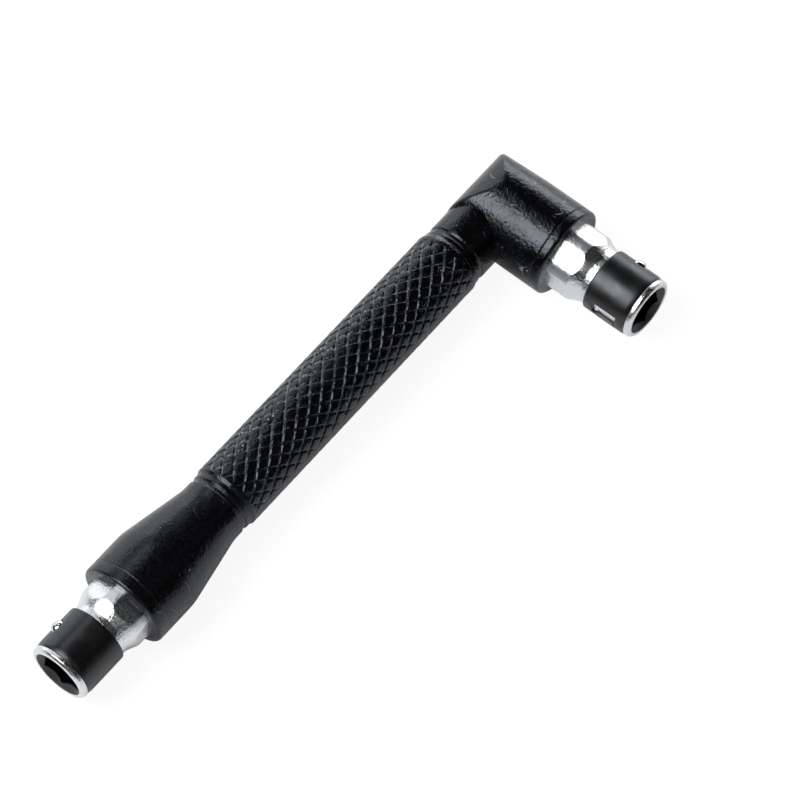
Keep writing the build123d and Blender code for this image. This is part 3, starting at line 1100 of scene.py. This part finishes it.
SOFTBOXES = {
    # name: direction from the tool, distance, width and height in metres, power in watts
    "key_softbox": ((-0.49, 0.303, 0.817), 0.7, (0.42, 0.50), 4.5),
    "back_wall": ((0.26, 0.97, 0.28), 0.9, (0.84, 0.58), 2.1),
    "right_wall": ((0.94, 0.34, 0.19), 0.9, (1.05, 0.38), 4.8),
    "tail_softbox": ((0.142, 0.537, 0.831), 0.29, (0.095, 0.10), 0.05),
    "fill_card": ((0.367, -0.61, 0.703), 0.6, (0.15, 0.15), 0.011),
    "left_card": ((-0.40, -0.60, 0.69), 0.6, (0.30, 0.30), 0.10),
}


def soft_box(name, direction, distance, size, power):
    """A rectangular softbox that faces the tool from a direction."""
    data = bpy.data.lights.new(name, "AREA")
    data.shape = "RECTANGLE"
    data.size, data.size_y = size
    data.energy = power
    data.color = (0.95, 0.975, 1.0)
    lamp = bpy.data.objects.new(name, data)
    way = Vector(direction).normalized()
    lamp.location = CENTRE * 0.4 + way * distance
    lamp.rotation_euler = way.to_track_quat("Z", "Y").to_euler()
    bpy.context.scene.collection.objects.link(lamp)


class SCREWDRIVER_OT_stage(bpy.types.Operator):
    """Set the paper floor, the softboxes, the world and the camera"""

    bl_idname = "screwdriver.stage"
    bl_label = "Studio stage"

    def execute(self, context):
        scene = context.scene
        mesh = bpy.data.meshes.new("paper_floor")
        side = 3.0    # half the sheet's width, in metres
        mesh.from_pydata(
            [(-side, -side, 0), (side, -side, 0), (side, side, 0), (-side, side, 0)],
            [], [(0, 1, 2, 3)],
        )
        floor = bpy.data.objects.new("paper_floor", mesh)
        scene.collection.objects.link(floor)
        mesh.materials.append(paper_sweep(scene.driver_finishes))
        floor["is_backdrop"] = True

        for name, settings in SOFTBOXES.items():
            soft_box(name, *settings)

        world = bpy.data.worlds.new("studio")
        world.use_nodes = True
        scene.world = world
        background = world.node_tree.nodes["Background"]
        background.inputs["Color"].default_value = (1, 1, 1, 1)
        background.inputs["Strength"].default_value = 0.015

        # The camera's place and view directions were fitted to the tool's outline.
        data = bpy.data.cameras.new("photo_camera")
        data.sensor_width = 36.0
        data.lens = 188.25
        data.clip_start = 0.01
        data.clip_end = 20.0
        camera = bpy.data.objects.new("photo_camera", data)
        forward = Vector((0.36665, 0.30309, -0.87960)).normalized()
        right = Vector((0.63523, -0.77232, -0.00134)).normalized()
        up = right.cross(forward).normalized()
        turn = Matrix((right, up, -forward)).transposed().to_4x4()
        camera.matrix_world = Matrix.Translation((-0.216588, -0.187401, 0.554542)) @ turn
        scene.collection.objects.link(camera)
        scene.camera = camera
        scene.view_settings.view_transform = "Standard"
        return {"FINISHED"}


class SCREWDRIVER_PT_panel(bpy.types.Panel):
    """Builds the screwdriver's pieces and its stage one by one"""

    bl_label = "Offset Screwdriver"
    bl_idname = "SCREWDRIVER_PT_panel"
    bl_space_type = "VIEW_3D"
    bl_region_type = "UI"
    bl_category = "Screwdriver"

    def draw(self, context):
        layout = self.layout
        for group in SETTINGS:
            box = layout.box()
            settings = getattr(context.scene, group)
            for name in settings.__annotations__:
                box.prop(settings, name)
        for operator in OPERATORS:
            layout.operator(operator.bl_idname)


SETTINGS = {
    "driver_casting": CastingSizes,
    "driver_knurl": KnurlSizes,
    "driver_socket": SocketSizes,
    "driver_sleeve": SleeveSizes,
    "driver_finishes": Finishes,
}
OPERATORS = (
    SCREWDRIVER_OT_casting,
    SCREWDRIVER_OT_knurl,
    SCREWDRIVER_OT_sockets,
    SCREWDRIVER_OT_sleeves,
    SCREWDRIVER_OT_balls,
    SCREWDRIVER_OT_stage,
)


def register():
    for item in (*SETTINGS.values(), *OPERATORS, SCREWDRIVER_PT_panel):
        bpy.utils.register_class(item)
    for name, group in SETTINGS.items():
        setattr(bpy.types.Scene, name, PointerProperty(type=group))


def unregister():
    for name in SETTINGS:
        delattr(bpy.types.Scene, name)
    for item in reversed((*SETTINGS.values(), *OPERATORS, SCREWDRIVER_PT_panel)):
        bpy.utils.unregister_class(item)


def main():
    """Builds everything in order, and works out the CAD box and the visual model's box."""
    register()
    bpy.ops.screwdriver.casting()
    bpy.ops.screwdriver.knurl()
    bpy.ops.screwdriver.sockets()
    bpy.ops.screwdriver.sleeves()
    bpy.ops.screwdriver.balls()
    bpy.ops.screwdriver.stage()
    boxes = {"cad": CAD_BOX, "visual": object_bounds()}
    boxes = {name: [list(map(float, corner)) for corner in box] for name, box in boxes.items()}


if __name__ == "__main__":
    main()
